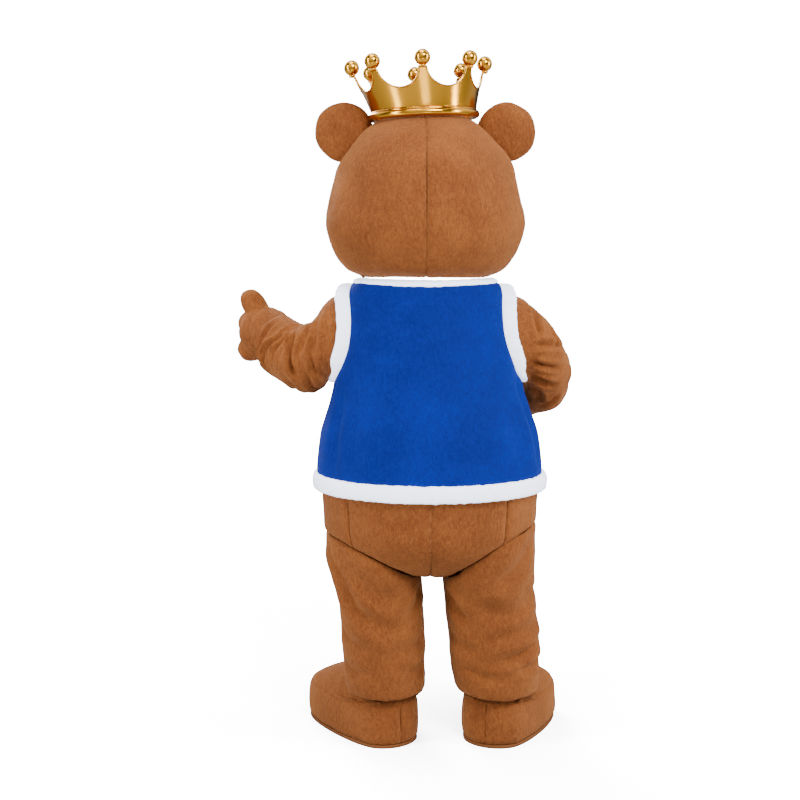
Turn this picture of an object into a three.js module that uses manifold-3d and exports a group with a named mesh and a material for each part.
// A bear mascot costume, held in the pose of an adult who wears it: a plush suit with sleeves
// and legs, gloves, oversize foot covers, an open vest with a white edging, a padded head with
// ears, and a crown of eight ball-tipped points. Every piece of cloth is a thin wall.
// Millimetres, +Z up. The bear faces -Y, and its left side is +X. Heights in the tables are
// above the floor that the foot covers stand on. The origin is on the middle line, at the height
// of the wearer's shoulders, which carry the suit.
import * as THREE from "three";
import { mergeVertices } from "three/addons/utils/BufferGeometryUtils.js";
import Module from "manifold-3d";

const wasm = await Module();
wasm.setup();

// ---------------------------------------------------------------- driving dimensions

const SHOULDER_HEIGHT = 1300;
const SEAM = 0.3; // between two sewn pieces
const SUIT_CLOTH = 3; // short-pile plush
const VEST_CLOTH = 3;
const HEAD_WALL = 8; // plush on foam sheet
const FOOT_WALL = 7;
const FAR = 3000; // longer than the costume, for cutting blocks

// Suit body: half width, depth behind and in front of the side line, and sideways lean.
const TORSO = [
  { h: 650, half: 298, back: 245, front: 262, lean: 0 },
  { h: 745, half: 302, back: 250, front: 270, lean: 0 },
  { h: 880, half: 291, back: 238, front: 262, lean: 3 },
  { h: 950, half: 270, back: 226, front: 250, lean: 4 },
  { h: 1020, half: 250, back: 212, front: 234, lean: 5 },
  { h: 1110, half: 240, back: 198, front: 212, lean: 8 },
  { h: 1210, half: 232, back: 182, front: 188, lean: 12 },
  { h: 1270, half: 217, back: 164, front: 166, lean: 14 },
  { h: 1298, half: 197, back: 146, front: 146, lean: 14 },
  { h: 1310, half: 178, back: 128, front: 124, lean: 14 },
  { h: 1319, half: 152, back: 108, front: 104, lean: 14 },
];
const BOWL = { top: 650, depth: 160 }; // the seat and crotch, half an ellipsoid
const SUIT_PANELS = [
  // seams as angles round the body: 0 is the left side, 90 the middle of the back
  { name: "suit_back_left", from: 36, to: 90, crotch: [1, 1] },
  { name: "suit_back_right", from: 90, to: 138, crotch: [-1, 1] },
  { name: "suit_side_right", from: 138, to: 220 },
  { name: "suit_front_right", from: 220, to: 270, crotch: [-1, -1] },
  { name: "suit_front_left", from: 270, to: 320, crotch: [1, -1] },
  { name: "suit_side_left", from: 320, to: 396 },
];
const CROTCH_HALF = 80; // the back and front panels meet between the legs, this far each way
const ARMHOLE = { h: 1172, halfDepth: 92, halfHeight: 115 };

// Legs: where the slanting seam starts and ends, seen from the front, and the tube below it.
const LEGS = {
  left: {
    side: 1,
    crotch: { x: 22, h: 488 },
    hip: { x: 292, h: 618 },
    bow: 18,
    sections: [
      { h: 560, x: 147, y: 0, half: 130, deep: 150 },
      { h: 441, x: 136, y: -2, half: 126, deep: 142 },
      { h: 324, x: 132, y: -8, half: 117, deep: 136 },
      { h: 253, x: 130, y: -16, half: 118, deep: 133 },
      { h: 150, x: 127, y: -25, half: 114, deep: 130 },
    ],
  },
  right: {
    side: -1,
    crotch: { x: 30, h: 488 },
    hip: { x: 292, h: 640 },
    bow: 26,
    sections: [
      { h: 560, x: 160, y: 0, half: 136, deep: 150 },
      { h: 441, x: 165, y: -2, half: 129, deep: 142 },
      { h: 324, x: 183, y: -8, half: 130, deep: 138 },
      { h: 253, x: 185, y: -16, half: 127, deep: 134 },
      { h: 150, x: 196, y: -25, half: 121, deep: 130 },
    ],
  },
};
const LEG_AROUND = 18;
const LEG_HEM = { back: 150, front: 205, turn: 50 }; // rises over the instep within this angle

// Sleeves past the armhole: ring centre, the way the sleeve runs (yaw in plan, 0 is outward and
// -90 is forward; pitch is upward) and the ring's two radii.
const SLEEVES = {
  left: {
    side: 1,
    rings: [
      { x: 281, y: -3, h: 1160, yaw: -3, pitch: 0, up: 104, across: 88 },
      { x: 309, y: -10, h: 1116, yaw: -15, pitch: -5, up: 101, across: 90 },
      { x: 345, y: -25, h: 1101, yaw: -30, pitch: 0, up: 94, across: 90 },
      { x: 378, y: -50, h: 1107, yaw: -38, pitch: 11, up: 88, across: 86 },
      { x: 413, y: -80, h: 1125, yaw: -42, pitch: 17, up: 84, across: 80 },
      { x: 440, y: -110, h: 1149, yaw: -45, pitch: 22, up: 80, across: 76 },
    ],
  },
  right: {
    side: -1,
    rings: [
      { x: 268, y: -3, h: 1158, yaw: -3, pitch: 0, up: 102, across: 88 },
      { x: 300, y: -10, h: 1116, yaw: -18, pitch: -12, up: 96, across: 84 },
      { x: 327, y: -50, h: 1070, yaw: -52, pitch: -20, up: 88, across: 74 },
      { x: 330, y: -116, h: 1026, yaw: -84, pitch: -22, up: 84, across: 70 },
      { x: 298, y: -190, h: 1000, yaw: -115, pitch: -14, up: 78, across: 69 },
      { x: 247, y: -256, h: 985, yaw: -138, pitch: -8, up: 70, across: 66 },
    ],
  },
};

const SLEEVE_AROUND = 14;
const SLEEVE_SEAM = 4; // the point of a hoop, counted from its back, on the sleeve's top seam

// Gloves: a palm and its digits, each digit from its root to its tip.
const GLOVES = {
  left: {
    palm: { at: [488, -152, 1168], half: [64, 60, 76] },
    digits: [
      { from: [480, -150, 1205], to: [515, -160, 1259], r: 34 },
      { from: [495, -168, 1192], to: [525, -196, 1192], r: 36 },
      { from: [485, -158, 1122], to: [523, -168, 1117], r: 36 },
    ],
    wristAt: [432, -101, 1150],
    wristTo: [463, -136, 1174],
    wristR: 64,
    splitY: -160,
  },
  right: {
    palm: { at: [-176, -309, 981], half: [64, 40, 58] },
    digits: [
      { from: [-140, -313, 1008], to: [-92, -318, 1012], r: 22 },
      { from: [-135, -314, 977], to: [-78, -320, 976], r: 23 },
      { from: [-140, -312, 946], to: [-92, -316, 940], r: 22 },
      { from: [-180, -313, 1020], to: [-150, -322, 1056], r: 23 },
    ],
    wristAt: [-252, -250, 986],
    wristTo: [-200, -292, 982],
    wristR: 56,
    splitY: -313,
  },
};

// Foot covers: two circles in plan, the heel's and the toes', and a padded wall between them.
const FEET = {
  left: { side: 1, heel: [133, -30], toes: [230, -192] },
  right: { side: -1, heel: [196, -30], toes: [262, -192] },
};
const FOOT = {
  heelR: 104,
  toeR: 134,
  sole: 8,
  wallAtHeel: 136,
  wallAtToe: 112,
  bulge: 9,
  ankleR: 90,
  ankle: 200,
  dome: 0.64,
};

// Vest: it hangs this far outside the suit, and rises this much higher over the shoulders.
const VEST = {
  ease: 14,
  lift: 6,
  hem: 783,
  top: 1316,
  frontEdge: 62,
  armhole: { h: 1174, halfDepth: 114, halfHeight: 138 },
  neck: { half: 199, back: 160, front: 184 },
};
const TRIM = { wide: 42, neck: 24, thick: 14, hemThick: 24 };

// Head: half width, and depth behind and in front of the ears.
const HEAD_X = 15;
const HEAD = [
  { h: 1328, half: 172, back: 155, front: 165 },
  { h: 1345, half: 211, back: 188, front: 200 },
  { h: 1382, half: 244, back: 215, front: 224 },
  { h: 1425, half: 266, back: 232, front: 238 },
  { h: 1471, half: 274, back: 240, front: 244 },
  { h: 1530, half: 265, back: 240, front: 239 },
  { h: 1593, half: 251, back: 232, front: 228 },
  { h: 1634, half: 238, back: 221, front: 216 },
  { h: 1675, half: 211, back: 200, front: 197 },
  { h: 1717, half: 174, back: 170, front: 168 },
  { h: 1750, half: 131, back: 131, front: 131 },
  { h: 1774, half: 76, back: 76, front: 76 },
];
const HEAD_TOP = 1785;
const NECK_HOLE = 150;
const EAR = { out: 222, h: 1722, r: 82, deep: 30, y: -6 };
const MUZZLE = { y: -222, h: 1432, half: [104, 92, 70] };
const NOSE = { y: -306, h: 1461, half: [36, 22, 24] };
const EYE = { out: 78, y: -218, h: 1548, half: [22, 20, 27] };

// Crown
const CROWN = {
  points: 8,
  turn: 2.5,
  lean: 2, // to the left
  tilt: 2, // backwards
  sway: 0.11, // the points lean further to the left, for each mm of height
  rimH: 1766,
  rimR: 142,
  rimThick: 12,
  wall: 3.5,
  footR: 146,
  tipR: 178,
  valley: 1828,
  tip: 1877,
  tipHalf: 0.07,
  ballR: 21,
};

// ---------------------------------------------------------------- shaping helpers

const rad = THREE.MathUtils.degToRad;
const lerp = THREE.MathUtils.lerp;
const smoothstep = THREE.MathUtils.smoothstep;
const count = (n, make) => Array.from({ length: n }, (_, i) => make(i));
const V = (x, y, z) => new THREE.Vector3(x, y, z);
const middleOf = (points) =>
  points.reduce((sum, p) => sum.add(p), V(0, 0, 0)).divideScalar(points.length);

// One column of a table at height h, on a smooth curve through its rows.
function column(rows, key, h) {
  const last = rows.length - 1;
  const up = rows[last].h > rows[0].h ? 1 : -1;
  let i = 0;
  while (i < last - 1 && (h - rows[i + 1].h) * up > 0) i += 1;
  const slope = (k) => {
    const a = rows[Math.max(k - 1, 0)];
    const b = rows[Math.min(k + 1, last)];
    return (b[key] - a[key]) / (b.h - a.h);
  };
  const step = rows[i + 1].h - rows[i].h;
  const t = THREE.MathUtils.clamp((h - rows[i].h) / step, 0, 1);
  const rise = 1 - t;
  return (
    rows[i][key] * (1 + 2 * t) * rise * rise +
    slope(i) * step * t * rise * rise +
    rows[i + 1][key] * t * t * (3 - 2 * t) -
    slope(i + 1) * step * t * t * rise
  );
}

// A closed geometry from rings of equal length, each wound the same way round the way they run.
// Ends are closed with fans, unless the rings are joined head to tail. From the ring numbered
// `inside` on, the rings run back under the earlier ones, and their facets match those over them.
function loft(rings, { joined = false, inside = rings.length } = {}) {
  const n = rings[0].length;
  const points = rings.flat();
  const faces = [];
  const spans = joined ? rings.length : rings.length - 1;
  for (let r = 0; r < spans; r += 1) {
    const next = (r + 1) % rings.length;
    for (let k = 0; k < n; k += 1) {
      const a = r * n + k;
      const b = r * n + ((k + 1) % n);
      const c = next * n + k;
      const d = next * n + ((k + 1) % n);
      if (r < inside) faces.push([a, b, d], [a, d, c]);
      else faces.push([a, b, c], [b, d, c]);
    }
  }
  if (!joined) {
    [0, rings.length - 1].forEach((r, end) => {
      const middle = points.length;
      points.push(middleOf(rings[r]));
      for (let k = 0; k < n; k += 1) {
        const a = r * n + k;
        const b = r * n + ((k + 1) % n);
        faces.push(end ? [a, b, middle] : [b, a, middle]);
      }
    });
  }
  return indexed(points, faces);
}

function indexed(points, faces) {
  const geometry = new THREE.BufferGeometry();
  geometry.setAttribute(
    "position",
    new THREE.Float32BufferAttribute(points.flatMap((p) => [p.x, p.y, p.z]), 3),
  );
  geometry.setIndex(faces.flat());
  return geometry;
}

// A tube of cloth: outer rings, and inner rings pulled towards each ring's middle.
function clothTube(rings, thick) {
  const inner = rings.map((ring) => {
    const middle = middleOf(ring);
    return ring.map((p) => p.clone().add(middle.clone().sub(p).setLength(thick)));
  });
  return loft([...rings, ...inner.reverse()], { joined: true, inside: rings.length });
}

// ---------------------------------------------------------------- solids

function toSolid(geometry) {
  const bare = new THREE.BufferGeometry();
  const source = geometry.index ? geometry.toNonIndexed() : geometry;
  bare.setAttribute("position", source.getAttribute("position").clone());
  const merged = mergeVertices(bare, 1e-3);
  const solid = new wasm.Manifold(
    new wasm.Mesh({
      numProp: 3,
      vertProperties: merged.attributes.position.array,
      triVerts: new Uint32Array(merged.index.array),
    }),
  );
  return solid.volume() < 0 ? toSolid(flipped(merged)) : solid;
}

function flipped(geometry) {
  const index = geometry.index.array;
  for (let i = 0; i < index.length; i += 3) [index[i], index[i + 1]] = [index[i + 1], index[i]];
  return geometry;
}

function toGeometry(solid) {
  const { vertProperties, triVerts, numProp } = solid.getMesh();
  const geometry = new THREE.BufferGeometry();
  const position = new Float32Array((vertProperties.length / numProp) * 3);
  for (let i = 0; i < position.length / 3; i += 1) {
    position.set(vertProperties.subarray(i * numProp, i * numProp + 3), i * 3);
  }
  geometry.setAttribute("position", new THREE.BufferAttribute(position, 3));
  geometry.setIndex(new THREE.BufferAttribute(new Uint32Array(triVerts), 1));
  return geometry;
}

const joinAll = (solids) => solids.reduce((all, solid) => all.add(solid));

// A block, from two corners.
function block(low, high) {
  const size = high.map((value, axis) => value - low[axis]);
  const geometry = new THREE.BoxGeometry(...size);
  geometry.translate(...high.map((value, axis) => (value + low[axis]) / 2));
  return toSolid(geometry);
}

// An upright prism on an outline given as [x, y] points.
function upright(outline, low, high) {
  const shape = new THREE.Shape(outline.map(([x, y]) => new THREE.Vector2(x, y)));
  const geometry = new THREE.ExtrudeGeometry(shape, { depth: high - low, bevelEnabled: false });
  geometry.translate(0, 0, low);
  return toSolid(geometry);
}

// A prism that runs from front to back, on an outline given as [x, h] points.
function frontToBack(outline) {
  const shape = new THREE.Shape(outline.map(([x, h]) => new THREE.Vector2(x, h)));
  const geometry = new THREE.ExtrudeGeometry(shape, { depth: 2 * FAR, bevelEnabled: false });
  geometry.rotateX(Math.PI / 2).translate(0, FAR, 0);
  return toSolid(geometry);
}

// The wedge between two angles round an upright axis, drawn in by half a seam on each side.
function wedge(x, from, to) {
  const middle = rad((from + to) / 2);
  const back = SEAM / 2 / Math.sin(rad((to - from) / 2));
  const apex = [x + back * Math.cos(middle), back * Math.sin(middle)];
  const rim = count(5, (i) => rad(lerp(from, to, i / 4)));
  const outline = rim.map((a) => [apex[0] + FAR * Math.cos(a), apex[1] + FAR * Math.sin(a)]);
  return upright([apex, ...outline], 0, FAR);
}

// A prism along X on an oval that faces sideways, for an armhole.
function sidewaysOval({ h, halfDepth, halfHeight }, side, grow = 0) {
  const outline = count(28, (i) => {
    const a = (i / 28) * 2 * Math.PI;
    return new THREE.Vector2(
      (halfDepth + grow) * Math.cos(a),
      (halfHeight + grow) * Math.sin(a),
    );
  });
  const geometry = new THREE.ExtrudeGeometry(new THREE.Shape(outline), {
    depth: FAR,
    bevelEnabled: false,
  });
  geometry.rotateX(Math.PI / 2).rotateZ(Math.PI / 2);
  if (side < 0) geometry.rotateZ(Math.PI);
  geometry.translate(side * 60, 0, h);
  return toSolid(geometry);
}

function ellipsoid(at, half, [around, down] = [8, 5]) {
  const geometry = new THREE.SphereGeometry(1, around, down);
  geometry.scale(...half);
  geometry.translate(...at);
  return toSolid(geometry);
}

// A round-ended bar from one point to another.
function capsule(from, to, r) {
  const a = V(...from);
  const b = V(...to);
  const geometry = new THREE.CapsuleGeometry(r, a.distanceTo(b), 1, 6);
  const turn = new THREE.Quaternion().setFromUnitVectors(
    V(0, 1, 0),
    b.clone().sub(a).normalize(),
  );
  geometry.applyQuaternion(turn);
  geometry.translate(...a.add(b).divideScalar(2).toArray());
  return toSolid(geometry);
}

// ---------------------------------------------------------------- body sections

const AROUND = 20;

// The suit's body at height h, grown by a constant: half width, depths and lean.
function torsoSection(h, grow = 0) {
  const at = Math.max(h, BOWL.top);
  const dip = Math.max(BOWL.top - h, 0) / (BOWL.depth + grow);
  const shrink = Math.sqrt(Math.max(1 - dip * dip, 0));
  return {
    half: (column(TORSO, "half", at) + grow) * shrink,
    back: (column(TORSO, "back", at) + grow) * shrink,
    front: (column(TORSO, "front", at) + grow) * shrink,
    lean: column(TORSO, "lean", at),
  };
}

function headSection(h, grow = 0) {
  return {
    half: column(HEAD, "half", h) + grow,
    back: column(HEAD, "back", h) + grow,
    front: column(HEAD, "front", h) + grow,
    lean: HEAD_X,
  };
}

// A ring of points round a section at height h.
function sectionRing(section, h, n = AROUND) {
  return count(n, (i) => {
    const a = (i / n) * 2 * Math.PI;
    const deep = Math.sin(a) > 0 ? section.back : section.front;
    return V(section.lean + section.half * Math.cos(a), deep * Math.sin(a), h);
  });
}

// How far out, sideways, a section reaches at depth y.
function sidewaysReach(section, y) {
  const deep = y > 0 ? section.back : section.front;
  return section.half * Math.sqrt(Math.max(1 - (y / deep) ** 2, 0));
}

const vestSection = (h) => torsoSection(h - VEST.lift, VEST.ease);

// The height at which the vest passes over a point in plan, near its top.
function vestHeightOver(x, y) {
  let low = 1200;
  let high = VEST.top + 20;
  for (let i = 0; i < 30; i += 1) {
    const middle = (low + high) / 2;
    const s = vestSection(middle);
    const deep = y > 0 ? s.back : s.front;
    if (((x - s.lean) / s.half) ** 2 + (y / deep) ** 2 < 1) low = middle;
    else high = middle;
  }
  return low;
}

// ---------------------------------------------------------------- suit

const SUIT_LEVELS = [1319, 1300, 1262, 1150, 1040, 950, 870, 760, 650, 580, 505];

function suitSolid(grow, top) {
  const levels = SUIT_LEVELS.map((h) => (h < BOWL.top ? h - grow * 0.8 : h));
  const rings = levels.map((h) => sectionRing(torsoSection(h, grow), h));
  const neck = sectionRing(torsoSection(SUIT_LEVELS[0], grow), top);
  return toSolid(loft(top > SUIT_LEVELS[0] ? [neck, ...rings] : rings));
}

// Everything under a leg's slanting seam, with the seam's gap.
function underLegSeam(leg) {
  const { side, crotch, hip } = leg;
  const slope = (hip.h - crotch.h) / (hip.x - crotch.x);
  const line = (x) => [side * x, crotch.h + slope * (x - crotch.x) + SEAM];
  const seam = legSeam(leg);
  const half = LEG_AROUND / 2;
  const over = count(half + 1, (i) => seam(Math.PI * (1 - i / half)));
  return frontToBack([
    line(0),
    ...over.map((p) => [p.x, p.z + 2 * SEAM]),
    line(FAR),
    [side * FAR, -FAR],
    [0, -FAR],
  ]);
}

function suitPanels() {
  const shell = suitSolid(0, SUIT_LEVELS[0]).subtract(suitSolid(-SUIT_CLOTH, 1400));
  const cuts = [
    ...Object.values(LEGS).map(underLegSeam),
    sidewaysOval(ARMHOLE, 1),
    sidewaysOval(ARMHOLE, -1),
  ];
  const worn = cuts.reduce((left, cut) => left.subtract(cut), shell);
  const between = block([-CROTCH_HALF, -FAR, 0], [CROTCH_HALF, FAR, 700]);
  return SUIT_PANELS.map(({ name, from, to, crotch }) => {
    if (!crotch) return [name, worn.intersect(wedge(0, from, to)).subtract(between)];
    const [x, y] = crotch.map((side) => [(side * SEAM) / 2, side * FAR].sort((a, b) => a - b));
    const share = between.intersect(block([x[0], y[0], 0], [x[1], y[1], 700]));
    return [name, worn.intersect(wedge(0, from, to).add(share))];
  });
}

// The slanting oval where a leg leaves the body, bowed upwards between crotch and hip.
function legSeam({ side, crotch, hip, bow }) {
  const { half } = torsoSection(BOWL.top);
  const run = { x: hip.x - crotch.x, h: hip.h - crotch.h };
  const start = { x: crotch.x / half, h: (crotch.h - BOWL.top) / BOWL.depth };
  const way = { x: run.x / half, h: run.h / BOWL.depth };
  const a = way.x ** 2 + way.h ** 2;
  const b = start.x * way.x + start.h * way.h;
  const c = start.x ** 2 + start.h ** 2 - 1;
  const reach = Math.sqrt(b * b - a * c) / a;
  return (angle) => {
    const along = reach * Math.cos(angle) - b / a;
    const x = crotch.x + run.x * along;
    const h = crotch.h + run.h * along + bow * Math.sin(angle) ** 2;
    const section = torsoSection(h);
    const deep = Math.sqrt(Math.max(1 - (x / section.half) ** 2, 0));
    const y = Math.sin(angle) > 0 ? section.back * deep : -section.front * deep;
    return V(side * x, y, h - SEAM);
  };
}

function hemHeight(angle) {
  const ahead = smoothstep(-Math.sin(angle), 0, Math.sin(rad(LEG_HEM.turn)));
  return lerp(LEG_HEM.back, LEG_HEM.front, ahead);
}

function legTube(leg) {
  const seam = legSeam(leg);
  const plain = (angle, h) =>
    V(
      leg.side * (column(leg.sections, "x", h) + column(leg.sections, "half", h) * Math.cos(angle)),
      column(leg.sections, "y", h) + column(leg.sections, "deep", h) * Math.sin(angle),
      h,
    );
  const levels = [0, 0.12, 0.28, 0.5, 0.75, 1];
  const rings = levels.map((v) =>
    count(LEG_AROUND, (i) => {
      const angle = (i / LEG_AROUND) * 2 * Math.PI;
      const top = seam(angle);
      const shift = top.clone().sub(plain(angle, top.z));
      const point = plain(angle, lerp(top.z, hemHeight(angle), v));
      return point.addScaledVector(shift, 1 - smoothstep(v, 0, 0.5));
    }),
  );
  return clothTube(rings, SUIT_CLOTH);
}

const legPiece = (leg, foot) => toSolid(legTube(leg)).subtract(footRoom(foot));

// A sleeve's hoops, from the armhole to the wrist.
function sleeveHoops({ side, rings }) {
  const first = count(SLEEVE_AROUND, (i) => {
    const a = (i / SLEEVE_AROUND) * 2 * Math.PI;
    const y = (ARMHOLE.halfDepth - 1) * Math.cos(a);
    const h = ARMHOLE.h + (ARMHOLE.halfHeight - 1) * Math.sin(a);
    const section = torsoSection(h);
    return V(section.lean + side * (sidewaysReach(section, y) + 1), y, h);
  });
  const others = rings.map(({ x, y, h, yaw, pitch, up, across }) => {
    const level = Math.cos(rad(pitch));
    const way = V(Math.cos(rad(yaw)) * level, Math.sin(rad(yaw)) * level, Math.sin(rad(pitch)));
    const sideways = V(0, 0, 1).cross(way).normalize();
    const upward = way.clone().cross(sideways);
    return count(SLEEVE_AROUND, (i) => {
      const a = (i / SLEEVE_AROUND) * 2 * Math.PI;
      const p = V(x, y, h);
      p.addScaledVector(sideways, across * Math.cos(a));
      p.addScaledVector(upward, up * Math.sin(a));
      p.x *= side;
      return p;
    });
  });
  return [first, ...others];
}

// The two halves of a sleeve, sewn together along the top and under the arm.
function sleevePieces(name, sleeve) {
  const hoops = sleeveHoops(sleeve);
  const tube = toSolid(clothTube(hoops, SUIT_CLOTH));
  // the front half's room: its share of every hoop, let out a little and drawn off by a shift
  const room = (shift) => {
    const shares = hoops.map((hoop) => {
      const middle = middleOf(hoop);
      const arc = count(SLEEVE_AROUND / 2 + 1, (i) =>
        hoop[(SLEEVE_SEAM + i) % SLEEVE_AROUND].clone().sub(middle).multiplyScalar(1.06).add(middle),
      );
      const away = middleOf(arc).sub(middle).setLength(shift);
      return [...arc, middle].map((p) => p.add(away));
    });
    const past = (end, before) =>
      end.map((p, i) => p.clone().add(p.clone().sub(before[i]).setLength(3)));
    const last = shares.length - 1;
    return toSolid(
      loft([past(shares[0], shares[1]), ...shares, past(shares[last], shares[last - 1])]),
    );
  };
  return [
    [`sleeve_${name}_front`, tube.intersect(room(SEAM / 2))],
    [`sleeve_${name}_back`, tube.subtract(room(-SEAM / 2))],
  ];
}

// ---------------------------------------------------------------- gloves and foot covers

function gloveForm({ palm, digits, wristAt, wristTo, wristR }, shrink) {
  const less = palm.half.map((value) => value - shrink);
  return joinAll([
    ellipsoid(palm.at, less),
    capsule(wristAt, wristTo, wristR - shrink),
    ...digits.map(({ from, to, r }) => capsule(from, to, r - shrink)),
  ]);
}

// Everything behind a glove's wrist, so that the glove is open there.
function behindWrist({ wristAt, wristTo }) {
  const way = V(...wristTo).sub(V(...wristAt)).normalize();
  const geometry = new THREE.BoxGeometry(400, 400, 400);
  geometry.translate(0, 0, -200);
  geometry.applyQuaternion(new THREE.Quaternion().setFromUnitVectors(V(0, 0, 1), way));
  geometry.translate(...wristAt);
  return toSolid(geometry);
}

function glovePieces(name, glove) {
  const shell = gloveForm(glove, 0)
    .subtract(gloveForm(glove, SUIT_CLOTH))
    .subtract(behindWrist(glove));
  const nearer = block([-FAR, glove.splitY + SEAM / 2, -FAR], [FAR, FAR, FAR]);
  const further = block([-FAR, -FAR, -FAR], [FAR, glove.splitY - SEAM / 2, FAR]);
  return [
    [`glove_${name}_back`, shell.intersect(name === "left" ? nearer : further)],
    [`glove_${name}_palm`, shell.intersect(name === "left" ? further : nearer)],
  ];
}

// A foot cover's plan: an angle round the line from heel to toes gives a point and how far
// towards the toes it is.
function footPlan(foot) {
  const heel = V(foot.side * foot.heel[0], foot.heel[1], 0);
  const toes = V(foot.side * foot.toes[0], foot.toes[1], 0);
  const way = toes.clone().sub(heel);
  const length = way.length();
  way.normalize();
  const across = V(-way.y, way.x, 0);
  return (angle, inset, h) => {
    const ahead = smoothstep(Math.cos(angle), -0.75, 0.75);
    const r = lerp(FOOT.heelR, FOOT.toeR, ahead) - inset;
    const p = heel.clone().addScaledVector(way, length * ahead + r * Math.cos(angle));
    return p.addScaledVector(across, r * Math.sin(angle)).setZ(h);
  };
}

const wallTop = (angle) =>
  lerp(FOOT.wallAtHeel, FOOT.wallAtToe, smoothstep(Math.cos(angle), -1, 0.3));

// The top of a foot cover at an angle round it: from its seam (0) to the ankle (1).
function footTopPoint(foot, plan, angle, share, inset) {
  const way = Math.atan2(foot.toes[1] - foot.heel[1], foot.side * (foot.toes[0] - foot.heel[0]));
  const low = plan(angle, FOOT.bulge * 0.7 + inset, wallTop(angle) + SEAM);
  const ankle = FOOT.ankleR - inset;
  const high = V(
    foot.side * foot.heel[0] + ankle * Math.cos(angle + way),
    foot.heel[1] + ankle * Math.sin(angle + way),
    FOOT.ankle,
  );
  // domed over the toes, and drawn in at once at the heel
  const arc = share * (Math.PI / 2);
  const dome = FOOT.dome * smoothstep(Math.cos(angle), -0.1, 0.7);
  const inward = lerp(Math.sin(arc), 1 - Math.cos(arc), dome);
  const upward = lerp(1 - Math.cos(arc), Math.sin(arc), dome);
  const p = low.clone().lerp(high, inward);
  return p.setZ(lerp(low.z, high.z - inset * dome * Math.sin(arc), upward));
}

// The room a foot cover takes, for the leg's hem to rest on.
function footRoom(foot) {
  const plan = footPlan(foot);
  const rings = [0, 0.35, 0.7, 1].map((share) =>
    count(18, (i) => footTopPoint(foot, plan, (i / 18) * 2 * Math.PI, share, -5)),
  );
  return toSolid(loft([rings[0].map((p) => p.clone().setZ(20)), ...rings]));
}

function footPieces(name, foot) {
  const plan = footPlan(foot);
  const around = 18;
  const angles = count(around, (i) => (i / around) * 2 * Math.PI);
  const heel = V(foot.side * foot.heel[0], foot.heel[1], 0);
  const toesWay = V(foot.side * foot.toes[0], foot.toes[1], 0).sub(heel);
  const heading = Math.atan2(toesWay.y, toesWay.x);
  const ring = (make) => angles.map(make);
  // the wall's profile: up from the sole, out by the bulge and in again to its top seam
  const wallRing = (share, more) =>
    ring((angle) => {
      const h = lerp(FOOT.sole + SEAM, wallTop(angle) - SEAM, share);
      return plan(angle, FOOT.bulge * (1 - Math.sin(Math.PI * (0.2 + 0.7 * share))) + more, h);
    });
  const shares = [0, 0.35, 0.7, 1];
  const wall = toSolid(
    loft([...shares.map((s) => wallRing(s, 0)), ...shares.toReversed().map((s) => wallRing(s, FOOT_WALL))], {
      joined: true,
    }),
  );
  const heelToToe = V(Math.cos(heading), Math.sin(heading), 0);
  const acrossAngle = THREE.MathUtils.radToDeg(heading);
  const halves = [
    [`foot_${name}_wall_outer`, foot.side > 0 ? [0, 180] : [180, 360]],
    [`foot_${name}_wall_inner`, foot.side > 0 ? [180, 360] : [0, 180]],
  ].map(([piece, [from, to]]) => {
    const halfPlane = upright(
      count(9, (i) => {
        const a = rad(acrossAngle + lerp(from, to, i / 8));
        return [heel.x + 700 * Math.cos(a), heel.y + 700 * Math.sin(a)];
      }),
      -10,
      400,
    ).translate([
      -heelToToe.y * (SEAM / 2) * (from ? -1 : 1),
      heelToToe.x * (SEAM / 2) * (from ? -1 : 1),
      0,
    ]);
    return [piece, wall.intersect(halfPlane)];
  });
  // the top: from the wall's seam up and in to the ankle
  const topRing = (share, inset) => ring((angle) => footTopPoint(foot, plan, angle, share, inset));
  const steps = [0, 0.35, 0.7, 1];
  const top = loft(
    [...steps.map((s) => topRing(s, 0)), ...steps.toReversed().map((s) => topRing(s, FOOT_WALL))],
    { joined: true },
  );
  const soleRing = (h) => ring((angle) => plan(angle, FOOT.bulge * 0.45, h));
  const sole = loft([soleRing(0), soleRing(FOOT.sole)]);
  return [...halves, [`foot_${name}_top`, top], [`foot_${name}_sole`, sole]];
}

// ---------------------------------------------------------------- vest

const VEST_LEVELS = [1316, 1300, 1262, 1140, 1000, 880, 783];

function neckPrism(shrink = 0) {
  const { half, back, front } = VEST.neck;
  const outline = count(24, (i) => {
    const a = (i / 24) * 2 * Math.PI;
    const deep = Math.sin(a) > 0 ? back : front;
    return [14 + (half - shrink) * Math.cos(a), (deep - shrink) * Math.sin(a)];
  });
  return upright(outline, 1150, 1500);
}

function vestPanels() {
  const rings = (less, levels) =>
    levels.map((h) => {
      const s = vestSection(THREE.MathUtils.clamp(h, VEST.hem, VEST.top));
      return sectionRing({ half: s.half - less, back: s.back - less, front: s.front - less, lean: s.lean }, h, 20);
    });
  const outer = toSolid(loft(rings(0, VEST_LEVELS)));
  const inner = toSolid(loft(rings(VEST_CLOTH, [VEST.top + 20, ...VEST_LEVELS, VEST.hem - 20])));
  const cloth = [
    sidewaysOval(VEST.armhole, 1),
    sidewaysOval(VEST.armhole, -1),
    neckPrism(),
    block([-VEST.frontEdge, -FAR, 0], [VEST.frontEdge, 0, FAR]),
  ].reduce((left, cut) => left.subtract(cut), outer.subtract(inner));
  const gap = SEAM / 2;
  return [
    ["vest_back", cloth.intersect(block([-FAR, gap, 0], [FAR, FAR, FAR]))],
    ["vest_front_left", cloth.intersect(block([0, -FAR, 0], [FAR, -gap, FAR]))],
    ["vest_front_right", cloth.intersect(block([-FAR, -FAR, 0], [0, -gap, FAR]))],
  ];
}

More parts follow.
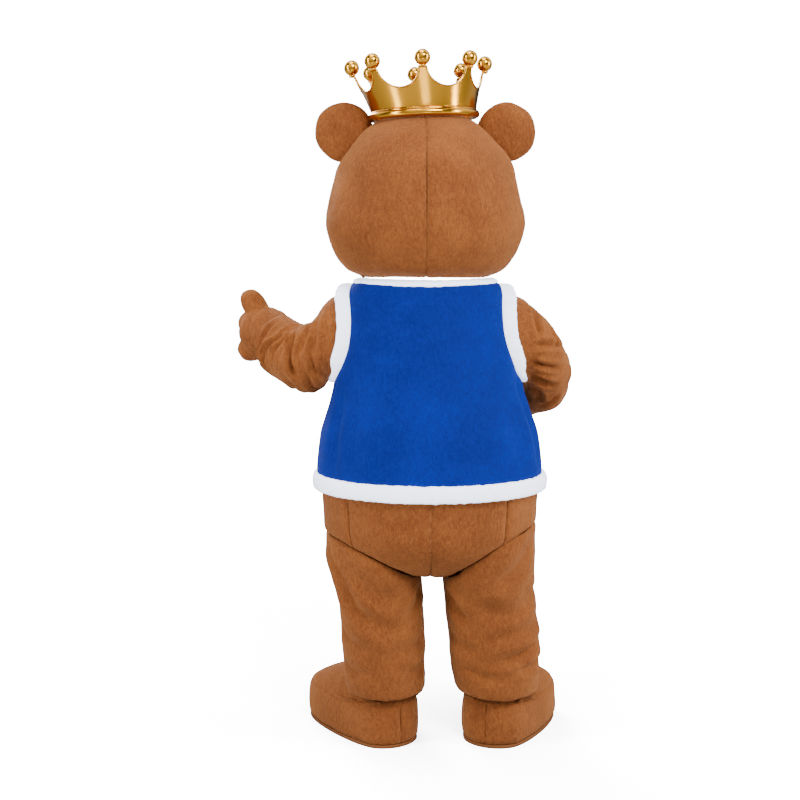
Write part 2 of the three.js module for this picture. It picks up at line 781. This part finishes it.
// A band of edging that starts just past a cloth edge: each station gives the edge's point, the
// way out from the cloth, the cloth's normal and the band's width there.
function edging(stations, { joined = false } = {}) {
  const rings = stations.map(({ at, out, normal, wide = TRIM.wide, thick = TRIM.thick }) => {
    const half = thick / 2;
    const c = thick / 3;
    const start = 2 * SEAM;
    const section = [
      [start, half - c],
      [start, c - half],
      [start + wide / 2, -half],
      [start + wide, c - half],
      [start + wide, half - c],
      [start + wide / 2, half],
    ];
    return section.map(([d, n]) => at.clone().addScaledVector(out, d).addScaledVector(normal, n));
  });
  return toSolid(loft(rings, { joined }));
}

function vestEdging() {
  const onVest = (angle, h) => {
    const s = vestSection(h);
    const deep = Math.sin(angle) > 0 ? s.back : s.front;
    const middle = VEST_CLOTH / 2;
    return {
      at: V(s.lean + (s.half - middle) * Math.cos(angle), (deep - middle) * Math.sin(angle), h),
      normal: V(Math.cos(angle) / s.half, Math.sin(angle) / deep, 0).normalize(),
    };
  };
  const frontAngle = (x, h) => {
    const s = vestSection(h);
    return -Math.acos((x - s.lean) / s.half);
  };
  // hem: round the back from one front opening to the other
  const inner = VEST.frontEdge - TRIM.wide;
  const hemFrom = frontAngle(inner, VEST.hem);
  const hemTo = 2 * Math.PI + frontAngle(-inner, VEST.hem);
  const hem = edging(
    count(25, (i) => {
      const { at, normal } = onVest(lerp(hemFrom, hemTo, i / 24), VEST.hem);
      const out = V(0, 0, -1);
      return { at: at.addScaledVector(normal, 3), normal, out, thick: TRIM.hemThick };
    }),
  );
  // fronts: up each side of the opening, cut off under the neck edging
  const fronts = [1, -1].map((side) =>
    edging(
      count(6, (i) => {
        const h = lerp(VEST.hem - 2 * SEAM + 1, VEST.top - 16, i / 5);
        const edge = onVest(frontAngle(side * VEST.frontEdge, h), h);
        return { ...edge, out: onVest(frontAngle(side * inner, h), h).at.sub(edge.at).normalize() };
      }),
    ).subtract(neckPrism(-1)),
  );
  // neck: inward and up over the shoulders
  const { half, back, front } = VEST.neck;
  const neckPoint = (angle, less) => {
    const deep = Math.sin(angle) > 0 ? back : front;
    const x = 14 + (half - less) * Math.cos(angle);
    const y = (deep - less) * Math.sin(angle);
    return V(x, y, vestHeightOver(x, y));
  };
  const neckFrom = -Math.acos((inner - 14) / half);
  const neckTo = 2 * Math.PI - Math.acos((-inner - 14) / half);
  const neck = edging(
    count(21, (i) => {
      const angle = lerp(neckFrom, neckTo, i / 20);
      const at = neckPoint(angle, 0);
      const out = neckPoint(angle, 14).sub(at).normalize();
      const along = neckPoint(angle + 0.01, 0).sub(neckPoint(angle - 0.01, 0)).normalize();
      const normal = out.clone().cross(along).normalize();
      return { at: at.addScaledVector(out, 1.5), out, normal, wide: TRIM.neck };
    }),
  );
  // armholes: round the sleeve, wide on the shoulder and narrow under the arm
  const armholes = [1, -1].map((side) =>
    edging(
      count(18, (i) => {
        const angle = (i / 18) * 2 * Math.PI;
        const { halfDepth, halfHeight, h: middle } = VEST.armhole;
        const edge = { y: halfDepth * Math.cos(angle), h: middle + halfHeight * Math.sin(angle) };
        const s = vestSection(edge.h);
        const x = s.lean + side * (sidewaysReach(s, edge.y) - VEST_CLOTH - 2);
        const y = (halfDepth - TRIM.thick / 2 - 1) * Math.cos(angle);
        const h = middle + (halfHeight - TRIM.thick / 2 - 1) * Math.sin(angle);
        const under = smoothstep(-Math.sin(angle), 0.45, 0.95);
        const out = V(side, -0.05 * Math.cos(angle), -0.05 * Math.sin(angle)).normalize();
        const normal = V(0, Math.cos(angle), Math.sin(angle));
        return { at: V(x, y, h), out, normal, wide: lerp(TRIM.wide, 16, under) };
      }),
      { joined: true },
    ),
  );
  return [
    ["vest_edging_hem", hem],
    ["vest_edging_front_left", fronts[0]],
    ["vest_edging_front_right", fronts[1]],
    ["vest_edging_neck", neck],
    ["vest_edging_armhole_left", armholes[0]],
    ["vest_edging_armhole_right", armholes[1]],
  ];
}

// ---------------------------------------------------------------- head

function headSolid(grow, { opened = false } = {}) {
  const rings = HEAD.map(({ h }) => sectionRing(headSection(h, grow), h, 18));
  rings.push(sectionRing({ half: 12, back: 12, front: 12, lean: HEAD_X }, HEAD_TOP + grow, 18));
  if (opened) {
    const hole = { half: NECK_HOLE, back: NECK_HOLE - 10, front: NECK_HOLE - 5, lean: HEAD_X };
    rings.unshift(sectionRing(hole, HEAD[0].h - 20, 18), sectionRing(hole, HEAD[0].h - grow, 18));
    rings.splice(2, 1);
  }
  return toSolid(loft(rings));
}

function headPieces() {
  const shell = headSolid(0).subtract(headSolid(-HEAD_WALL, { opened: true }));
  const around = headSolid(SEAM + 0.2);
  const quarter = (from, to) => shell.intersect(wedge(HEAD_X, from, to));
  const muzzle = ellipsoid([HEAD_X, MUZZLE.y, MUZZLE.h], MUZZLE.half, [14, 8])
    .subtract(ellipsoid([HEAD_X, MUZZLE.y, MUZZLE.h], MUZZLE.half.map((v) => v - HEAD_WALL), [14, 8]))
    .subtract(around);
  const overMuzzle = ellipsoid(
    [HEAD_X, MUZZLE.y, MUZZLE.h],
    MUZZLE.half.map((v) => v + SEAM + 0.2),
    [14, 8],
  );
  const nose = ellipsoid([HEAD_X, NOSE.y, NOSE.h], NOSE.half, [12, 8]).subtract(overMuzzle);
  const eyes = [1, -1].map((side) => [
    side > 0 ? "eye_left" : "eye_right",
    ellipsoid([HEAD_X + side * EYE.out, EYE.y, EYE.h], EYE.half, [12, 8])
      .subtract(around),
  ]);
  return [
    ["head_back_left", quarter(0, 90)],
    ["head_back_right", quarter(90, 180)],
    ["head_face_right", quarter(180, 270)],
    ["head_face_left", quarter(270, 360)],
    ["head_muzzle", muzzle],
    ["nose", nose],
    ...eyes,
    ...earPieces(around),
  ];
}

function earPieces(head) {
  const crownRoom = upright(
    count(32, (i) => {
      const a = (i / 32) * 2 * Math.PI;
      const r = CROWN.rimR + CROWN.rimThick + 6;
      return [HEAD_X + r * Math.cos(a), r * Math.sin(a)];
    }),
    CROWN.rimH - 26,
    CROWN.rimH + 200,
  );
  return [1, -1].flatMap((side) => {
    const name = side > 0 ? "ear_left" : "ear_right";
    const pad = ellipsoid([HEAD_X + side * EAR.out, EAR.y, EAR.h], [EAR.r, EAR.deep, EAR.r], [14, 8])
      .subtract(head)
      .subtract(crownRoom);
    return [
      [`${name}_back`, pad.intersect(block([-FAR, EAR.y + SEAM / 2, 0], [FAR, FAR, FAR]))],
      [`${name}_front`, pad.intersect(block([-FAR, -FAR, 0], [FAR, EAR.y - SEAM / 2, FAR]))],
    ];
  });
}

// ---------------------------------------------------------------- crown

// The crown's top edge: flat on each point, and a round dip between two points.
function crownTop(share) {
  const away = Math.min(share, 1 - share);
  if (away < CROWN.tipHalf) return CROWN.tip;
  const s = (away - CROWN.tipHalf) / (0.5 - CROWN.tipHalf);
  return lerp(CROWN.valley, CROWN.tip, 1 - Math.sqrt(1 - (1 - s) ** 2));
}

function crownPieces() {
  const foot = CROWN.rimH + CROWN.rimThick + SEAM;
  const radius = (h) =>
    lerp(CROWN.footR, CROWN.tipR, Math.max((h - foot) / (CROWN.tip - foot), 0) ** 1.1);
  const shares = [0, 0.07, 0.12, 0.24, 0.5, 0.76, 0.88, 0.93];
  const angles = count(CROWN.points, (p) => shares.map((share) => ({ share, turn: p + share }))).flat();
  const ring = (level, less) =>
    angles.map(({ share, turn }) => {
      const a = rad(90 + CROWN.turn) + (turn / CROWN.points) * 2 * Math.PI;
      const h = lerp(foot, crownTop(share), level);
      const r = radius(h) - less;
      return V(r * Math.cos(a) + CROWN.sway * (h - foot), r * Math.sin(a), h);
    });
  const levels = [0, 0.5, 1];
  const wall = loft(
    [...levels.map((l) => ring(l, 0)), ...levels.toReversed().map((l) => ring(l, CROWN.wall))],
    { joined: true },
  );
  const rim = new THREE.TorusGeometry(CROWN.rimR, CROWN.rimThick, 6, 24);
  rim.translate(0, 0, CROWN.rimH);
  const balls = count(CROWN.points, (p) => {
    const a = rad(90 + CROWN.turn) + (p / CROWN.points) * 2 * Math.PI;
    const r = CROWN.tipR + 3;
    const ball = new THREE.SphereGeometry(CROWN.ballR, 8, 6);
    ball.rotateX(Math.PI / 2);
    const sway = CROWN.sway * (CROWN.tip - foot);
    ball.translate(r * Math.cos(a) + sway, r * Math.sin(a), CROWN.tip + CROWN.ballR + SEAM);
    return [`crown_ball_${p + 1}`, ball];
  });
  return [["crown_rim", rim], ["crown_wall", wall], ...balls];
}

// ---------------------------------------------------------------- the costume

const plush = new THREE.MeshStandardMaterial({ color: 0xb06a35, roughness: 0.95, name: "plush" });
const velvet = new THREE.MeshStandardMaterial({ color: 0x0a47b8, roughness: 0.9, name: "velvet" });
const fleece = new THREE.MeshStandardMaterial({ color: 0xeeeef6, roughness: 1, name: "fleece" });
const soleCloth = new THREE.MeshStandardMaterial({ color: 0x6b3d1f, roughness: 0.95, name: "sole" });
const gloss = new THREE.MeshStandardMaterial({ color: 0x17120f, roughness: 0.25, name: "gloss" });
const gold = new THREE.MeshStandardMaterial({
  color: 0xcf9a3c,
  roughness: 0.25,
  metalness: 1,
  name: "gold",
});

function meshes(pieces, material) {
  return pieces.map(([name, shape]) => {
    const geometry = toGeometry(shape.isBufferGeometry ? toSolid(shape) : shape);
    const mesh = new THREE.Mesh(geometry, material);
    mesh.name = name;
    return mesh;
  });
}

const costume = new THREE.Group();
costume.add(...meshes(suitPanels(), plush));
for (const name of ["left", "right"]) {
  costume.add(...meshes([[`leg_${name}`, legPiece(LEGS[name], FEET[name])]], plush));
  costume.add(...meshes(sleevePieces(name, SLEEVES[name]), plush));
  costume.add(...meshes(glovePieces(name, GLOVES[name]), plush));
  costume.add(...meshes(footPieces(name, FEET[name]), plush));
  costume.getObjectByName(`foot_${name}_sole`).material = soleCloth;
}
costume.add(...meshes(vestPanels(), velvet));
costume.add(...meshes(vestEdging(), fleece));
costume.add(...meshes(headPieces(), plush));
for (const name of ["nose", "eye_left", "eye_right"]) {
  costume.getObjectByName(name).material = gloss;
}

const crown = new THREE.Group();
crown.add(...meshes(crownPieces().map(([name, shape]) => [name, shape]), gold));
crown.children.forEach((mesh) => mesh.geometry.translate(0, 0, -CROWN.rimH));
crown.position.set(HEAD_X + 4, 0, CROWN.rimH);
crown.rotation.set(-rad(CROWN.tilt), rad(CROWN.lean), 0);
costume.add(crown);

costume.position.z = -SHOULDER_HEIGHT;
export default costume;
